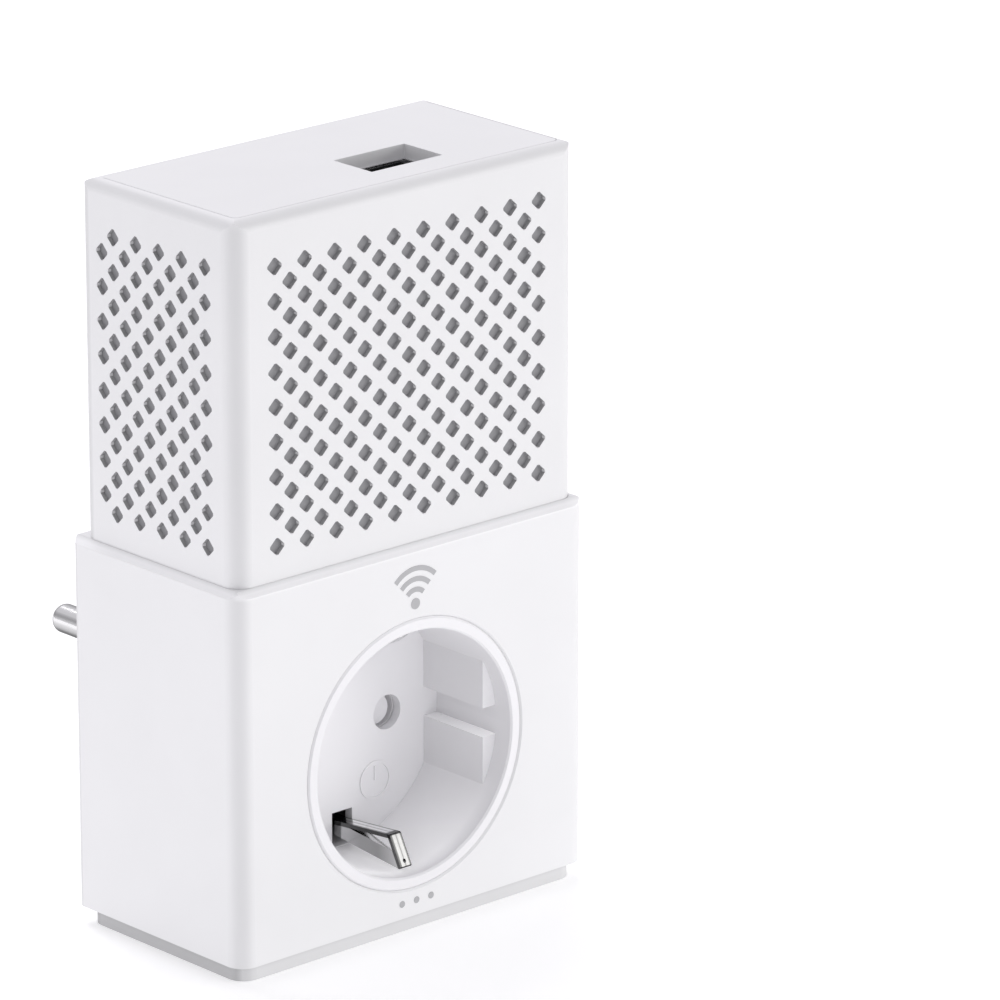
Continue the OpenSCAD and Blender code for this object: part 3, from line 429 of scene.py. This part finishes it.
def sprung_strip(name):
    """Bright spring strip of the earth clips with painted reflections; the clip above the socket's axis has
    a plainer painted reflection.
    """
    n = Nodes(name)
    sideways = n.greys(n.facing((-1, 0, 0)), [(0.9, 0.0), (0.97, 1.0)])
    tone = n.combine("MIX", strip_face_reflections(n), strip_side_shade(n), sideways)
    above = n.greys(n.along((0, 0, 1), SOCKET_HEIGHT - 0.3 * MM, SOCKET_HEIGHT + 0.7 * MM), OFF_TO_ON)
    tone = n.combine("MIX", tone, n.greys(n.facing((0, 0, 1)), UPPER_CLIP_REFLECTION), above)
    n.link(*tone, n.shader, "Base Color")
    bright_polish(n, 0.14)
    return n.material


def make_materials():
    """One material for each slot of the record."""
    return {
        "casing_white": casing("casing_white", WHITE),
        "socket_white": socket_plastic("socket_white", INSIDE),
        "liner_grey": plastic("liner_grey", (0.30, 0.30, 0.31), rough=0.7),
        "print_grey": plastic("print_grey", (0.47, 0.47, 0.48), rough=0.5),
        "carrier_grey": plastic("carrier_grey", (0.08, 0.08, 0.085), rough=0.55),
        "spring_steel": metal("spring_steel", (0.6, 0.6, 0.61), 0.22),
        "contact_brass": metal("contact_brass", (0.80, 0.60, 0.28), 0.25, (1, 1, 0.1)),
        "clip_chrome": sprung_strip("clip_chrome"),
        "pin_nickel": plated("pin_nickel", PIN_PAINTED_REFLECTIONS, (0, 0, 1), 0.16),
        # The button's white is the casing's white darkened: painted shade against the key lamp's strong
        # light on the right side
        "button_white": plastic("button_white", shade(WHITE, 0.88), rough=0.3),
        "black_plastic": plastic("black_plastic", DARK, rough=0.45, vary=0.2),
        "board_green": circuit_board("board_green"),
        "led_lens": plastic("led_lens", (0.75, 0.85, 0.7), rough=0.2),
        "clear_plastic": clear_plastic("clear_plastic"),
        "wire_red": plastic("wire_red", (0.5, 0.03, 0.03), rough=0.35, vary=0.1),
        "chip_black": plastic("chip_black", (0.02, 0.02, 0.022), rough=0.6, vary=0.2),
        "heat_sink_aluminium": metal("heat_sink_aluminium", (0.78, 0.79, 0.81), 0.35, (1, 1, 0.1)),
        "can_steel": metal("can_steel", (0.66, 0.66, 0.67), 0.28),
        "ferrite_grey": plastic("ferrite_grey", (0.06, 0.06, 0.065), rough=0.7, grain=0.2 * MM, vary=0.2),
        "tape_yellow": banded("tape_yellow", (0.75, 0.52, 0.06), (0.5, 0.33, 0.04), 1.1 * MM),
        "copper_wire": banded("copper_wire", (0.6, 0.24, 0.08), (0.35, 0.12, 0.04), 0.3 * MM, 0.3),
        "contact_gold": metal("contact_gold", (0.95, 0.72, 0.3), 0.15),
        "sleeve_blue": plastic("sleeve_blue", (0.03, 0.07, 0.25), rough=0.3, vary=0.1),
        "fuse_brown": plastic("fuse_brown", (0.2, 0.07, 0.03), rough=0.35, vary=0.1),
        "screw_zinc": metal("screw_zinc", (0.62, 0.62, 0.6), 0.3),
    }


# ---- Carried-over CAD nodes ----

def dress_nodes(materials):
    """Gives each CAD node its slot's material; its shape and its edges stay as the CAD made them."""
    slots = {part["node"]: part["material_slot"] for part in frame["record"]["subparts"]}
    for name, obj in frame["nodes"].items():
        material = materials[slots[name]]
        if not obj.material_slots:
            obj.data.materials.append(material)
        for entry in obj.material_slots:
            entry.material = material


# ---- Studio ----

COOL = (0.98, 0.965, 1)
LAMPS = [  # name, place, power in watts, colour
    ("key", (1.0, -0.9, 0.2), 6.1, (1, 0.995, 0.97)),
    ("side_fill", (-1.05, 0.5, 0.25), 1.5, COOL),
    ("top_fill", (0.25, 0.65, 1.2), 6.9, COOL),
]
LAMP_SIZE = 0.9
LAMP_AIM = Vector((0, 0, 0.06))
SKY_COLOUR = (0.97, 0.96, 1.0, 1)
SKY_STRENGTH = 0.63
FLOOR_HALF = 6.0
FLOOR_GAP = 0.02 * MM


def place_object(name, data, place, turn):
    """New object in the scene at a place, turned by a quaternion."""
    obj = bpy.data.objects.new(name, data)
    obj.location = place
    obj.rotation_mode = "QUATERNION"
    obj.rotation_quaternion = turn
    bpy.context.scene.collection.objects.link(obj)
    return obj


def make_floor():
    """Plain pale floor just under the part."""
    mesh = bpy.data.meshes.new("floor")
    corners = [(-FLOOR_HALF, -FLOOR_HALF, 0), (FLOOR_HALF, -FLOOR_HALF, 0),
               (FLOOR_HALF, FLOOR_HALF, 0), (-FLOOR_HALF, FLOOR_HALF, 0)]
    mesh.from_pydata(corners, [], [(0, 1, 2, 3)])
    floor = bpy.data.objects.new("floor", mesh)
    floor.location.z = cad_box[0].z - FLOOR_GAP
    bpy.context.scene.collection.objects.link(floor)
    n = Nodes("floor_pale")
    soft = n.noise(0.4, 2.0)
    tone = n.ramp(soft, "Fac", [(0.0, (0.93, 0.93, 0.93)), (1.0, (0.95, 0.95, 0.95))])
    n.link(tone, "Color", n.shader, "Base Color")
    n.set(Roughness=0.9, Specular_IOR_Level=0.1, Emission_Color=(1, 1, 1, 1), Emission_Strength=0.30)
    mesh.materials.append(n.material)


def make_light():
    """Three large soft boxes placed so that faces are bright and rounded edges stay a little darker."""
    for name, place, power, colour in LAMPS:
        lamp = bpy.data.lights.new(name, "AREA")
        lamp.shape = "DISK"
        lamp.size = LAMP_SIZE
        lamp.energy = power
        lamp.color = colour
        place_object(name, lamp, place, (LAMP_AIM - Vector(place)).to_track_quat("-Z", "Y"))
    world = bpy.data.worlds.new("studio")
    world.use_nodes = True
    sky = world.node_tree.nodes["Background"]
    sky.inputs["Color"].default_value = SKY_COLOUR
    sky.inputs["Strength"].default_value = SKY_STRENGTH
    bpy.context.scene.world = world


def make_camera():
    """Long lens from front left and a little above."""
    azimuth = math.radians(42.4)
    elevation = math.radians(18.1)
    distance = 1.169
    aim = Vector((0.0237, -0.0128, 0.0638))
    back = Vector((-math.sin(azimuth) * math.cos(elevation),
                   -math.cos(azimuth) * math.cos(elevation), math.sin(elevation)))
    lens = bpy.data.cameras.new("camera")
    lens.sensor_width = 36
    lens.lens = 270
    lens.clip_start = 0.05
    lens.clip_end = 20
    bpy.context.scene.camera = place_object("camera", lens, aim + back * distance,
                                            (-back).to_track_quat("-Z", "Y"))


dress_nodes(make_materials())
make_floor()
make_light()
make_camera()
bpy.context.scene.view_settings.view_transform = "Standard"
